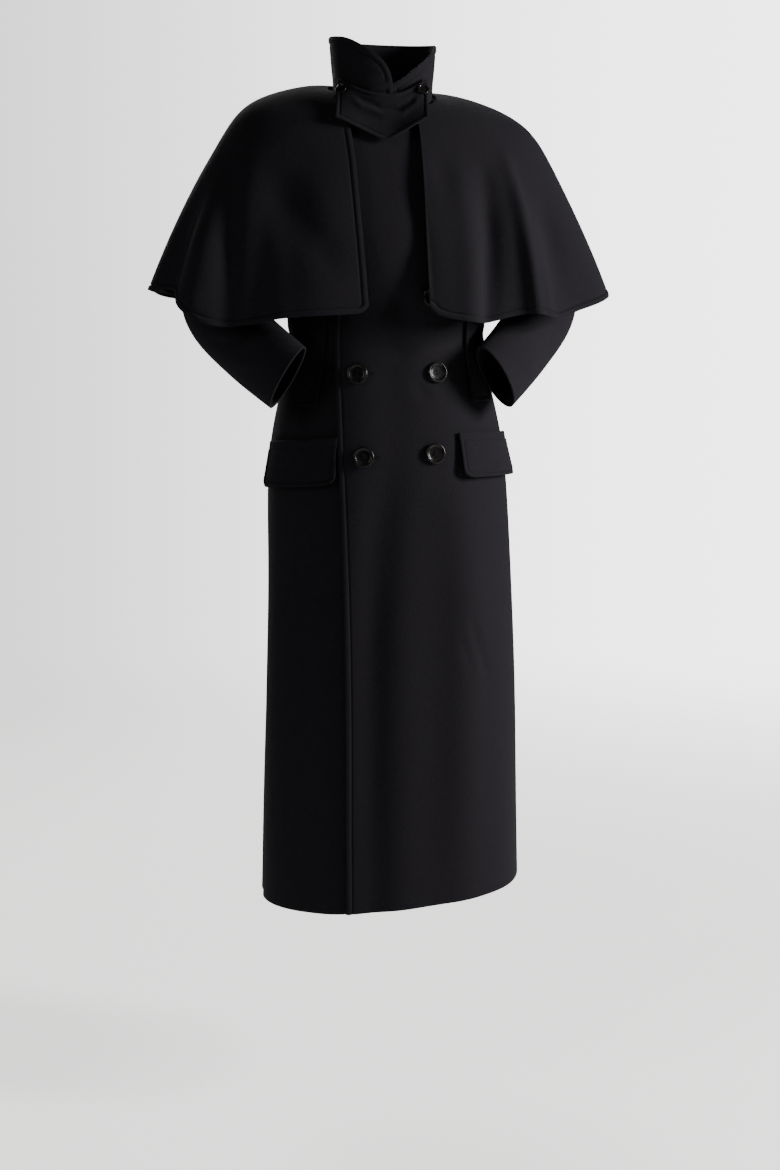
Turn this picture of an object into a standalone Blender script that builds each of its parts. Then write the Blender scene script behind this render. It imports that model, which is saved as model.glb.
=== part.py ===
"""Long double-breasted wool coat with a shoulder cape, in its worn form with nobody in it.

Metres, +Z up. The coat's front faces -Y and the wearer's left side is +X. The origin is the middle
of the neck opening, where the coat hangs from the shoulders. Angles go round the body from the
centre front (0) through the wearer's left side (90 degrees) to the centre back (180 degrees).
A level is a place down a table of sections: level 2.5 is half way between rows 2 and 3.
"""

import math
from collections import namedtuple

import bmesh
import bpy
from mathutils import Matrix, Vector

# Cloth and seams
CLOTH = 0.0026            # felted double-face wool
TWO_PLY = 0.0040          # collar, tab, flaps and welts, sewn from two plies
SEAM_GAP = 0.0003         # between pieces at a seam
REST_GAP = 0.0006         # between a piece and the cloth that it lies on
TURN_STEP = 0.001         # step for measuring a surface's slope

# Front lap
LAP = 0.088               # front edge's distance from the centre front
LAP_MOST = math.radians(48)
LAP_GAP = 0.0011          # between the two fronts
LAP_LIFT = CLOTH + LAP_GAP
LAP_EASE = (math.radians(3), math.radians(14))

# Armholes, between the shoulder tip's level and the underarm's
TIP_LEVEL = 3.0
UNDERARM_LEVEL = 6.0
ARMHOLE_HALF = math.radians(36)
SLEEVE_LIFT = 0.0009

# Buttons
# Height, then how far the wearer's left and right buttons are from the centre front
BUTTON_ROWS = ((-0.300, 0.049, 0.062), (-0.415, 0.058, 0.058), (-0.536, 0.053, 0.053))
FRONT_BUTTON = 0.032      # diameter
TAB_BUTTON = 0.018
TAB_BUTTON_LIFT = 0.0009  # the tab curves away under the button

# Pockets: angles from the centre front, heights on the side of the hip
WELT_ANGLES = (math.radians(42), math.radians(60))
WELT_HEIGHTS = (-0.306, -0.462)
WELT_GAPE = 0.002         # the mouth's edge stands off the front
WELT_GAP = 0.0013
JET_HEIGHTS = (-0.5075, -0.5205)
FLAP_HEIGHTS = (-0.5210, -0.5755)
FLAP_ANGLES = (math.radians(29.5), math.radians(81))
FLAP_FLARE = 0.006        # how far the flap's lower edge stands off
FLAP_CORNER = 0.009       # corner radius
POCKET_GAP = 0.0002
POCKET_SLANT = 0.006      # the outer end sits lower

# Collar and throat tab, which are turned a little to the wearer's right of the coat's own front
COLLAR_TURN = math.radians(-8)
COLLAR_LEVEL = 0.10       # where the collar stands on the neck edge
COLLAR_GAP = 0.0012
COLLAR_LEAN = 0.085       # outward lean for each metre of height
COLLAR_OVERLAP = math.radians(24)
COLLAR_END = math.radians(11)
COLLAR_WRAP = TWO_PLY + 0.0014
TAB_SPAN = math.radians(50)
TAB_HALF_WIDTH = 0.0690
TAB_TIP = 0.10            # the point's place across, from the middle
TAB_BUTTON_PLACE = (0.86, 0.25)   # across from the middle, down from the top

# Cape
CAPE_EDGE_NECK = (-0.067, 0.036)  # front edges at the neck: wearer's right, wearer's left
CAPE_EDGE_HEM = (-0.041, 0.047)
CAPE_CORNER = 0.012               # front corner radius
CAPE_COLUMN_POWER = 1.35          # columns stand closer together near the front edge

Section = namedtuple("Section", "height half_width front_depth back_depth front_drop roll shift")
BODY = [
    Section(0.014, 0.073, 0.074, 0.060, 0.042, -3.0, -0.006),     # neck
    Section(0.011, 0.110, 0.082, 0.071, 0.050, -3.0, -0.003),     # yoke
    Section(0.000, 0.150, 0.089, 0.082, 0.056, -3.0, 0.0),        # shoulder slope
    Section(-0.019, 0.186, 0.096, 0.092, 0.057, -3.0, 0.0),       # shoulder tip
    Section(-0.054, 0.197, 0.104, 0.100, 0.046, -2.8, 0.0),       # upper chest
    Section(-0.128, 0.190, 0.118, 0.112, 0.020, -2.2, 0.0),       # chest
    Section(-0.222, 0.171, 0.143, 0.115, 0.000, -1.2, 0.0),       # bust and underarm
    Section(-0.292, 0.156, 0.140, 0.109, 0.000, -0.6, 0.0),       # ribs
    Section(-0.365, 0.147, 0.127, 0.105, 0.000, 0.0, 0.0),        # waist
    Section(-0.440, 0.163, 0.134, 0.121, 0.000, 1.2, -0.001),     # high hip
    Section(-0.540, 0.184, 0.149, 0.145, 0.000, 2.4, 0.000),      # hip
    Section(-0.700, 0.190, 0.158, 0.158, 0.000, 3.0, 0.005),      # thigh
    Section(-0.900, 0.197, 0.168, 0.168, 0.000, 3.5, 0.007),      # knee
    Section(-1.080, 0.201, 0.175, 0.175, 0.000, 4.4, 0.006),      # calf
    Section(-1.2215, 0.204, 0.180, 0.181, 0.000, 5.2, 0.006),     # hem
]
BODY_BOXINESS = 0.03
BODY_ROWS = (2, 2, 2, 3, 3, 3, 2, 2, 2, 2, 2, 2, 2, 2)    # rows of the grid in each span of BODY

CAPE = [
    Section(0.0190, 0.0828, 0.0840, 0.0690, 0.0440, -3.0, -0.006),
    Section(0.0215, 0.1180, 0.0930, 0.0820, 0.0600, -3.0, -0.003),
    Section(0.0145, 0.1520, 0.0985, 0.0920, 0.0650, -3.0, 0.0),
    Section(0.0035, 0.1890, 0.1045, 0.1005, 0.0660, -3.0, 0.0),
    Section(-0.0150, 0.2185, 0.1100, 0.1080, 0.0620, -3.0, 0.0),
    Section(-0.0440, 0.2410, 0.1180, 0.1160, 0.0505, -2.8, 0.0),
    Section(-0.0920, 0.2655, 0.1290, 0.1270, 0.0350, -2.4, -0.001),
    Section(-0.1550, 0.2960, 0.1420, 0.1450, 0.0200, -1.8, -0.003),
    Section(-0.2200, 0.3230, 0.1560, 0.1650, 0.0080, -1.2, -0.004),
    Section(-0.2850, 0.3480, 0.1640, 0.1870, 0.0020, -0.6, -0.005),
    Section(-0.3500, 0.3690, 0.1680, 0.2050, 0.0000, 0.0, -0.005),
]
CAPE_BOXINESS = 0.02

HemPoint = namedtuple("HemPoint", "angle height")
CAPE_HEM = [
    HemPoint(-180, -0.334),
    HemPoint(-150, -0.324),
    HemPoint(-120, -0.304),
    HemPoint(-92, -0.294),
    HemPoint(-75, -0.294),
    HemPoint(-66, -0.297),
    HemPoint(-54, -0.322),
    HemPoint(-43, -0.344),
    HemPoint(-34, -0.345),
    HemPoint(-24, -0.336),
    HemPoint(-12, -0.3305),
    HemPoint(0, -0.328),
    HemPoint(8, -0.337),
    HemPoint(15, -0.3405),
    HemPoint(27, -0.3265),
    HemPoint(32, -0.326),
    HemPoint(37, -0.3325),
    HemPoint(50, -0.320),
    HemPoint(70, -0.296),
    HemPoint(92, -0.284),
    HemPoint(120, -0.298),
    HemPoint(150, -0.324),
    HemPoint(180, -0.334),
]

Fold = namedtuple("Fold", "angle half_angle rise start full")
BODY_FOLDS = [
    Fold(12, 15, -0.006, 8.5, 12.0),
    Fold(47, 15, 0.006, 10.0, 13.0),
    Fold(-58, 14, -0.005, 10.0, 13.0),
    Fold(112, 12, -0.007, 10.0, 13.0),
    Fold(140, 13, 0.008, 9.0, 13.0),
    Fold(168, 12, -0.007, 9.0, 13.0),
    Fold(196, 13, 0.008, 9.0, 13.0),
    Fold(224, 12, -0.007, 9.0, 13.0),
    Fold(250, 12, 0.006, 10.0, 13.0),
]
CAPE_FOLDS = [
    Fold(16, 9, 0.008, 4.0, 10.0),
    Fold(29, 7, -0.013, 4.5, 10.0),
    Fold(39, 7, 0.012, 4.0, 10.0),
    Fold(52, 8, -0.011, 4.5, 10.0),
    Fold(70, 9, 0.010, 4.5, 10.0),
    Fold(-20, 10, 0.008, 4.0, 10.0),
    Fold(-34, 9, -0.012, 4.5, 10.0),
    Fold(-53, 10, 0.014, 4.0, 10.0),
    Fold(-71, 7, -0.015, 5.0, 10.0),
    Fold(-89, 9, 0.010, 5.0, 10.0),
    Fold(92, 9, -0.008, 5.0, 10.0),
    Fold(112, 10, 0.012, 4.5, 10.0),
    Fold(132, 10, -0.011, 4.5, 10.0),
    Fold(153, 10, 0.012, 4.0, 10.0),
    Fold(176, 10, -0.010, 4.5, 10.0),
    Fold(199, 10, 0.012, 4.0, 10.0),
    Fold(222, 10, -0.011, 4.5, 10.0),
    Fold(245, 10, 0.012, 4.5, 10.0),
]

# A sleeve's rings below the armhole, on the wearer's left: the centre, the half sizes away from the
# body and across that, the outward axis's tilt from upright and its swing towards the front, and the
# shoulders' roll and the shift to the wearer's left that both sleeves share
Ring = namedtuple("Ring", "x y z out_half across_half tilt swing roll shift")
SLEEVE = [
    Ring(0.1965, 0.004, -0.1390, 0.0930, 0.0660, 14, 0, -3.0, 0.0),
    Ring(0.2100, 0.009, -0.1650, 0.0780, 0.0650, 26, 0, -3.0, 0.0),
    Ring(0.2220, 0.015, -0.1930, 0.0670, 0.0640, 40, 0, -2.6, 0.0),
    Ring(0.2340, 0.023, -0.2200, 0.0600, 0.0630, 57, 5, -2.0, 0.0),
    Ring(0.2450, 0.034, -0.2480, 0.0590, 0.0630, 77, 12, -1.4, -0.001),
    Ring(0.2520, 0.046, -0.2770, 0.0590, 0.0600, 91, 18, -0.8, -0.002),    # above the elbow
    Ring(0.2560, 0.046, -0.3140, 0.0570, 0.0590, 94, 25, -0.3, -0.002),    # elbow
    Ring(0.2390, 0.012, -0.3430, 0.0520, 0.0590, 92, 34, 0.0, -0.003),
    Ring(0.2030, -0.058, -0.3800, 0.0410, 0.0580, 90, 48, 0.0, -0.006),    # forearm
    Ring(0.1560, -0.124, -0.4210, 0.0340, 0.0540, 90, 66, 0.0, -0.008),    # cuff
]
SLEEVE_ROWS = (1, 1, 1, 1, 1, 1, 2, 2, 3, 3)                 # the first span starts at the armhole

# The collar's upper edge, by how far round it is from the outer end
TopPoint = namedtuple("TopPoint", "sweep height")
COLLAR_TOP = [
    TopPoint(0, 0.022),
    TopPoint(2, 0.032),
    TopPoint(6, 0.042),
    TopPoint(24, 0.062),
    TopPoint(45, 0.079),
    TopPoint(55, 0.083),
    TopPoint(80, 0.087),
    TopPoint(180, 0.088),
    TopPoint(270, 0.080),
    TopPoint(306, 0.063),
    TopPoint(332, 0.038),
    TopPoint(354, 0.016),
    TopPoint(384, 0.004),
]

# The throat tab from its middle (0) to its end (1): upper edge, lower edge, and the lower edge's reach
TabPoint = namedtuple("TabPoint", "across top bottom reach")
TAB = [
    TabPoint(0.00, -0.0040, -0.0740, 0.1090),
    TabPoint(0.33, 0.0000, -0.0625, 0.1085),
    TabPoint(0.66, 0.0110, -0.0505, 0.1110),
    TabPoint(0.90, 0.0205, -0.0420, 0.1100),
    TabPoint(1.00, 0.0230, -0.0385, 0.1090),
]

# A button's profile for a diameter of 2, from the middle of its face to the middle of its back
ButtonPoint = namedtuple("ButtonPoint", "radius height")
BUTTON_PROFILE = [
    ButtonPoint(0.000, 0.17),
    ButtonPoint(0.660, 0.17),
    ButtonPoint(0.760, 0.28),
    ButtonPoint(0.900, 0.28),
    ButtonPoint(1.000, 0.17),
    ButtonPoint(0.900, 0.00),
    ButtonPoint(0.000, 0.00),
]
BUTTON_HOLE = 0.085       # radius, for a button of diameter 2
BUTTON_HOLE_PLACE = 0.19
BUTTON_SIDES = 16
HOLE_SIDES = 6

WOOL_COLOUR = (0.012, 0.012, 0.014)
BUTTON_COLOUR = (0.010, 0.010, 0.011)


# Helpers for numbers and tables

def smooth(low, high, value):
    """0 below low, 1 above high, and an even S between them."""
    share = min(1.0, max(0.0, (value - low) / (high - low)))
    return share * share * (3 - 2 * share)


def curve_through(before, start, end, after, share):
    """A smooth curve from start to end that heads where its neighbours lead."""
    first = (end - before) / 2
    last = (after - start) / 2
    return (
        start
        + first * share
        + (3 * (end - start) - 2 * first - last) * share**2
        + (2 * (start - end) + first + last) * share**3
    )


def at_level(rows, level):
    """The row at a level between two rows of a table, on a smooth curve through all of them."""
    last = len(rows) - 1
    level = min(float(last), max(0.0, level))
    index = min(int(level), last - 1)
    around = [rows[min(last, max(0, index + step))] for step in (-1, 0, 1, 2)]
    return type(rows[0])(*(curve_through(*values, level - index) for values in zip(*around)))


def level_of(rows, height):
    """The level whose section has that height, found by halving."""
    low, high = 0.0, float(len(rows) - 1)
    for _ in range(40):
        middle = (low + high) / 2
        if at_level(rows, middle).height > height:
            low = middle
        else:
            high = middle
    return (low + high) / 2


def along_table(points, place):
    """The row at a place along a table whose first column says where each row is."""
    index = sum(point[0] <= place for point in points[:-1]) - 1
    index = max(0, index)
    span = points[index + 1][0] - points[index][0]
    return at_level(points, index + (place - points[index][0]) / span)


def row_level(rows_in_span, share):
    """The level at a share of the way down a grid with that many rows in each span."""
    row = share * sum(rows_in_span)
    for span, count in enumerate(rows_in_span):
        if row <= count:
            return span + row / count
        row -= count
    return float(len(rows_in_span))


def fold_rise(folds, angle, level):
    """How far the folds move the cloth out at a place."""
    total = 0.0
    for fold in folds:
        away = (math.degrees(angle) - fold.angle + 180) % 360 - 180
        total += fold.rise * math.exp(-((away / fold.half_angle) ** 2)) * smooth(fold.start, fold.full, level)
    return total


# Surfaces of the body and the cape

def outward(angle):
    return Vector((math.sin(angle), -math.cos(angle), 0))


def ring_point(section, angle, boxiness):
    """A point round one section: half an ellipse in front, half behind, and a little boxy."""
    swell = 1 + boxiness * (1 - math.cos(4 * angle)) / 2
    depth = section.front_depth if math.cos(angle) > 0 else section.back_depth
    x = section.half_width * math.sin(angle) * swell
    y = -depth * math.cos(angle) * swell
    drop = section.front_drop * ((1 + math.cos(angle)) / 2) ** 2
    z = section.height - drop + x * math.tan(math.radians(section.roll))
    return Vector((x + section.shift, y, z))


def body(angle, level):
    point = ring_point(at_level(BODY, level), angle, BODY_BOXINESS)
    return point + outward(angle) * fold_rise(BODY_FOLDS, angle, level)


def cape(angle, level):
    point = ring_point(at_level(CAPE, level), angle, CAPE_BOXINESS)
    return point + outward(angle) * fold_rise(CAPE_FOLDS, angle, level)


def normal_of(surface, angle, level):
    around = surface(angle + TURN_STEP, level) - surface(angle - TURN_STEP, level)
    down = surface(angle, level + TURN_STEP) - surface(angle, level - TURN_STEP)
    return down.cross(around).normalized()


def lifted(surface, angle, level, lift):
    """A point of a surface, moved straight out from it."""
    return surface(angle, level) + normal_of(surface, angle, level) * lift


def lap_edge(level):
    """How far round from the centre front a front edge lies."""
    return min(LAP_MOST, math.asin(LAP / max(LAP, at_level(BODY, level).half_width)))


def lap_lift(angle, level):
    """How far the left front is lifted by the right front's edge under it."""
    edge = lap_edge(level)
    return LAP_LIFT * (1 - smooth(edge + LAP_EASE[0], edge + LAP_EASE[1], angle))


def outermost_lift(angle, level):
    """The lift of whichever front lies outside."""
    angle = (angle + math.pi) % (2 * math.pi) - math.pi
    edge = -lap_edge(level)
    return lap_lift(angle, level) * smooth(edge - LAP_EASE[1], edge - LAP_EASE[0], angle)


def front_lift(side, angle, level):
    return lap_lift(angle, level) if side > 0 else 0.0


def armhole_half(level):
    """Half the armhole's opening, as an angle, where a level crosses it."""
    share = (level - TIP_LEVEL) / (UNDERARM_LEVEL - TIP_LEVEL)
    if not 0 < share < 1:
        return 0.0
    return ARMHOLE_HALF * math.sqrt(1 - (1 - 2 * share) ** 2)


def side_edge(level):
    """From the side seam's line to a panel's edge, as an angle."""
    return armhole_half(level) + SEAM_GAP / 2 / at_level(BODY, level).back_depth


# Making solids

def material(name, colour, roughness):
    made = bpy.data.materials.new(name)
    made.use_nodes = True
    shader = made.node_tree.nodes["Principled BSDF"]
    shader.inputs["Base Color"].default_value = (*colour, 1)
    shader.inputs["Roughness"].default_value = roughness
    shader.inputs["Metallic"].default_value = 0.0
    made.diffuse_color = (*colour, 1)
    return made


def add_object(name, mesh, collection, finish):
    mesh.materials.clear()
    mesh.materials.append(finish)
    made = bpy.data.objects.new(name, mesh)
    collection.objects.link(made)
    return made


def cloth_mesh(name, columns, rows, place, thickness, tube=False):
    """A wall of cloth. A flat grid is doubled into two skins joined round the border, and place puts
    each point where it belongs, from its share across, its share down and its depth in the wall."""
    mesh_data = bmesh.new()
    across = mesh_data.verts.layers.float.new("across")
    down = mesh_data.verts.layers.float.new("down")
    bmesh.ops.create_grid(mesh_data, x_segments=columns, y_segments=rows, size=0.5)
    for vert in mesh_data.verts:
        vert[across] = vert.co.x + 0.5
        vert[down] = vert.co.y + 0.5
        if tube:
            turn = 2 * math.pi * vert[across]
            vert.co = Vector((math.cos(turn), math.sin(turn), vert[down]))
    if tube:
        bmesh.ops.remove_doubles(mesh_data, verts=mesh_data.verts[:], dist=1e-5)
    doubled = bmesh.ops.extrude_face_region(mesh_data, geom=mesh_data.faces[:])
    inner = {item for item in doubled["geom"] if isinstance(item, bmesh.types.BMVert)}
    for vert in mesh_data.verts:
        vert.co = place(vert[across], vert[down], thickness if vert in inner else 0.0)
    bmesh.ops.recalc_face_normals(mesh_data, faces=mesh_data.faces[:])
    if mesh_data.calc_volume(signed=True) < 0:
        bmesh.ops.reverse_faces(mesh_data, faces=mesh_data.faces[:])
    mesh = bpy.data.meshes.new(name)
    mesh_data.to_mesh(mesh)
    mesh_data.free()
    mesh.shade_smooth()
    mesh.set_sharp_from_angle(angle=math.radians(50))
    return mesh


# Body panels

def front_place(side):
    """A front, from its free edge to its side seam and armhole. Half its columns are in the lap, at the
    same angles on both fronts, so the two stay parallel there."""
    def place(across, down, depth):
        level = row_level(BODY_ROWS, down)
        edge = lap_edge(level)
        end = math.pi / 2 - side_edge(level)
        if across <= 0.5:
            angle = side * edge * (4 * across - 1)
        else:
            angle = side * (edge + (end - edge) * (2 * across - 1))
        return lifted(body, angle, level, front_lift(side, angle, level) - depth)
    return place


def back_place(across, down, depth):
    level = row_level(BODY_ROWS, down)
    start = math.pi / 2 + side_edge(level)
    angle = start + (2 * math.pi - 2 * start) * across
    return lifted(body, angle, level, -depth)


# Sleeves

def sleeve_ring(level):
    """A ring's centre, outward half axis and half axis across it, on the wearer's left."""
    ring = at_level(SLEEVE, level)
    centre = Vector((ring.x, ring.y, ring.z))
    ahead = at_level(SLEEVE, level + 0.05)
    behind = at_level(SLEEVE, level - 0.05)
    along = Vector((ahead.x - behind.x, ahead.y - behind.y, ahead.z - behind.z))
    tilt = math.radians(ring.tilt)
    swing = math.radians(ring.swing)
    level_axis = Vector((math.cos(swing), -math.sin(swing), 0))
    out_axis = level_axis * math.sin(tilt) + Vector((0, 0, math.cos(tilt)))
    across_axis = out_axis.cross(along).normalized()
    return centre, out_axis * ring.out_half, across_axis * ring.across_half


def armhole_point(turn, side):
    """A point on the armhole's edge: a turn of 0 is the shoulder tip, half a turn the underarm."""
    level = TIP_LEVEL + (UNDERARM_LEVEL - TIP_LEVEL) * (1 - math.cos(turn)) / 2
    angle = math.pi / 2 + ARMHOLE_HALF * math.sin(turn)
    lift = SLEEVE_LIFT + front_lift(side, side * angle, level)
    return lifted(body, side * angle, level, lift)


def sleeve_place(side):
    """A sleeve, from the armhole round the bent elbow to the open cuff."""
    top = (armhole_point(0, side) + armhole_point(math.pi, side)) / 2

    def place(across, down, depth):
        turn = 2 * math.pi * across
        level = row_level(SLEEVE_ROWS, down)
        if level == 0:
            edge = armhole_point(turn, side)
            return edge + (top - edge).normalized() * depth
        centre, out_axis, across_axis = sleeve_ring(level - 1)
        point = (
            centre
            + out_axis * (1 - depth / out_axis.length) * math.cos(turn)
            + across_axis * (1 - depth / across_axis.length) * math.sin(turn)
        )
        ring = at_level(SLEEVE, level - 1)
        x = side * point.x
        return Vector((x + ring.shift, point.y, point.z + x * math.tan(math.radians(ring.roll))))
    return place


# Cape

def cape_edge(side, level):
    """How far round from the centre front the cape's front edge lies."""
    row = at_level(CAPE, level)
    share = (CAPE[0].height - row.height) / (CAPE[0].height - CAPE[-1].height)
    index = 0 if side < 0 else 1
    x = CAPE_EDGE_NECK[index] + (CAPE_EDGE_HEM[index] - CAPE_EDGE_NECK[index]) * share
    return math.asin(abs(x) / row.half_width)


def cape_hem_level(angle, from_edge=1.0):
    """The hem's level, raised in a round corner near the front edge."""
    height = along_table(CAPE_HEM, (math.degrees(angle) + 180) % 360 - 180).height
    short = max(0.0, CAPE_CORNER - from_edge)
    height += CAPE_CORNER - math.sqrt(CAPE_CORNER**2 - short**2)
    return level_of(CAPE, height)


def cape_front_place(side):
    """A cape front, from its free edge to the seam along the shoulder."""
    def place(across, down, depth):
        share = across**CAPE_COLUMN_POWER
        rough = share * math.pi / 2
        hem_width = at_level(CAPE, len(CAPE) - 2).half_width
        level = down * cape_hem_level(side * rough, from_edge=share * hem_width)
        start = cape_edge(side, level)
        end = math.pi / 2 - SEAM_GAP / 2 / at_level(CAPE, level).back_depth
        angle = side * (start + (end - start) * share)
        return lifted(cape, angle, level, -depth)
    return place


def cape_back_place(across, down, depth):
    half_turn = math.pi / 2
    rough = half_turn + math.pi * across
    level = down * cape_hem_level(rough)
    start = half_turn + SEAM_GAP / 2 / at_level(CAPE, level).back_depth
    angle = start + (2 * math.pi - 2 * start) * across
    return lifted(cape, angle, level, -depth)


# Collar and tab

def collar_wrap(sweep):
    """How far the collar's outer end is lifted to pass over the other end."""
    return COLLAR_WRAP * (1 - smooth(math.radians(35), math.radians(95), sweep))


def collar_point(sweep, height, out, rise=None):
    """A point over the neck edge, by how far round it is from the collar's outer end and how far out.
    A rise from 0 to 1 takes the place of the height and runs from the neck seam to the upper edge."""
    angle = COLLAR_TURN + COLLAR_END - sweep
    lift = outermost_lift(angle, 0.0) + COLLAR_GAP
    base = lifted(body, angle, COLLAR_LEVEL, lift)
    base.z = lifted(body, angle, 0.0, lift).z
    if rise is not None:
        top = along_table(COLLAR_TOP, math.degrees(sweep)).height
        height = base.z + (top - base.z) * rise
    point = base + outward(angle) * (COLLAR_LEAN * (height - base.z) + out)
    return Vector((point.x, point.y, height))


def collar_place(across, down, depth):
    sweep = (2 * math.pi + COLLAR_OVERLAP) * across
    return collar_point(sweep, 0.0, collar_wrap(sweep) - depth, rise=1 - down)


def tab_point(across, down, depth):
    """A point of the throat tab, across from -1 to 1: a sheet between its upper edge on the collar
    and its lower edge in front of the cape."""
    row = along_table(TAB, abs(across - TAB_TIP) / (1 - TAB_TIP if across > TAB_TIP else 1 + TAB_TIP))
    angle = TAB_SPAN * across
    sweep = COLLAR_END - angle
    past_end = math.radians(27)
    out = collar_wrap(sweep if sweep > 0 else past_end - sweep) + REST_GAP + TWO_PLY
    upper = collar_point(sweep, row.top, out)
    lower = Vector((TAB_HALF_WIDTH * across, -row.reach, row.bottom))
    lower = Matrix.Rotation(COLLAR_TURN, 3, "Z") @ lower + Vector((BODY[0].shift, 0, 0))
    point = upper.lerp(lower, down)
    return point - outward(COLLAR_TURN + angle * (1 - 0.55 * down)) * depth


def tab_place(across, down, depth):
    return tab_point(2 * across - 1, down, depth)


# Pieces on the fronts

def on_front(side, angle, height, lift):
    """A point over a front, by its angle and its height on the side of the body."""
    level = level_of(BODY, height)
    return lifted(body, side * angle, level, front_lift(side, side * angle, level) + lift)


def welt_place(side):
    def place(across, down, depth):
        angle = WELT_ANGLES[0] + (WELT_ANGLES[1] - WELT_ANGLES[0]) * across
        height = WELT_HEIGHTS[0] + (WELT_HEIGHTS[1] - WELT_HEIGHTS[0]) * down
        gape = WELT_GAPE * across**2 * math.sin(math.pi * down)
        return on_front(side, angle, height, WELT_GAP + TWO_PLY + gape - depth)
    return place


def jet_place(side):
    def place(across, down, depth):
        angle = FLAP_ANGLES[0] + (FLAP_ANGLES[1] - FLAP_ANGLES[0]) * across
        height = JET_HEIGHTS[0] + (JET_HEIGHTS[1] - JET_HEIGHTS[0]) * down - POCKET_SLANT * across
        return on_front(side, angle, height, POCKET_GAP + TWO_PLY - depth)
    return place


def flap_place(side):
    """A pocket flap with two round lower corners, standing off at its lower edge."""
    hip = at_level(BODY, level_of(BODY, FLAP_HEIGHTS[1]))
    width = (FLAP_ANGLES[1] - FLAP_ANGLES[0]) * (hip.half_width + hip.front_depth) / 2

    def place(across, down, depth):
        share = smooth(0, 1, across) * 0.5 + across * 0.5
        angle = FLAP_ANGLES[0] + (FLAP_ANGLES[1] - FLAP_ANGLES[0]) * share
        short = max(0.0, FLAP_CORNER - width * min(share, 1 - share))
        corner = FLAP_CORNER - math.sqrt(FLAP_CORNER**2 - short**2)
        bottom = FLAP_HEIGHTS[1] + corner
        height = FLAP_HEIGHTS[0] + (bottom - FLAP_HEIGHTS[0]) * down - POCKET_SLANT * share
        return on_front(side, angle, height, POCKET_GAP + TWO_PLY + FLAP_FLARE * down**1.3 - depth)
    return place


# Buttons

def button_mesh(diameter, cutters, finish):
    """A turned button with a raised rim and four holes."""
    radius = diameter / 2
    profile = bpy.data.meshes.new("button_profile")
    points = [(point.radius * radius, 0, point.height * radius) for point in BUTTON_PROFILE]
    profile.from_pydata(points, [(i, i + 1) for i in range(len(points) - 1)], [])
    turned = add_object("button_turned", profile, cutters, finish)
    screw = turned.modifiers.new("turn", "SCREW")
    screw.steps = BUTTON_SIDES
    screw.render_steps = BUTTON_SIDES
    screw.use_merge_vertices = True
    screw.merge_threshold = 1e-5
    holes = [hole_cutter(radius, corner, cutters, finish) for corner in range(4)]
    for hole in holes:
        cut = turned.modifiers.new("hole", "BOOLEAN")
        cut.operation = "DIFFERENCE"
        cut.object = hole
    bpy.context.view_layer.update()
    evaluated = turned.evaluated_get(bpy.context.evaluated_depsgraph_get())
    mesh = bpy.data.meshes.new_from_object(evaluated)
    for scrap in [turned, *holes]:
        bpy.data.objects.remove(scrap)
    mesh.shade_smooth()
    mesh.set_sharp_from_angle(angle=math.radians(40))
    return mesh


def hole_cutter(radius, corner, cutters, finish):
    made = bmesh.new()
    turn = math.radians(45 + 90 * corner)
    place = Vector((math.cos(turn), math.sin(turn), 0)) * BUTTON_HOLE_PLACE * math.sqrt(2) * radius
    bmesh.ops.create_cone(
        made, cap_ends=True, segments=HOLE_SIDES, radius1=BUTTON_HOLE * radius,
        radius2=BUTTON_HOLE * radius, depth=2 * radius, matrix=Matrix.Translation(place),
    )
    mesh = bpy.data.meshes.new("button_hole")
    made.to_mesh(mesh)
    made.free()
    return add_object("button_hole", mesh, cutters, finish)


def place_button(name, mesh, point, normal, lift, collection, finish):
    made = add_object(name, mesh, collection, finish)
    made.rotation_euler = normal.to_track_quat("Z", "Y").to_euler()
    made.location = point + normal * lift
    return made


def front_button_place(side, height, column):
    level = level_of(BODY, height)
    angle = side * math.asin(column / at_level(BODY, level).half_width)
    point = lifted(body, angle, level, lap_lift(angle, level))
    return point, normal_of(body, angle, level)


def tab_button_place(side):
    across, down = TAB_BUTTON_PLACE
    step = 0.08
    point = tab_point(side * across, down, 0.0)
    along = tab_point(side * across + step, down, 0.0) - tab_point(side * across - step, down, 0.0)
    below = tab_point(side * across, down + step, 0.0) - tab_point(side * across, down - step, 0.0)
    return point, below.cross(along).normalized()


# The coat

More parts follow.
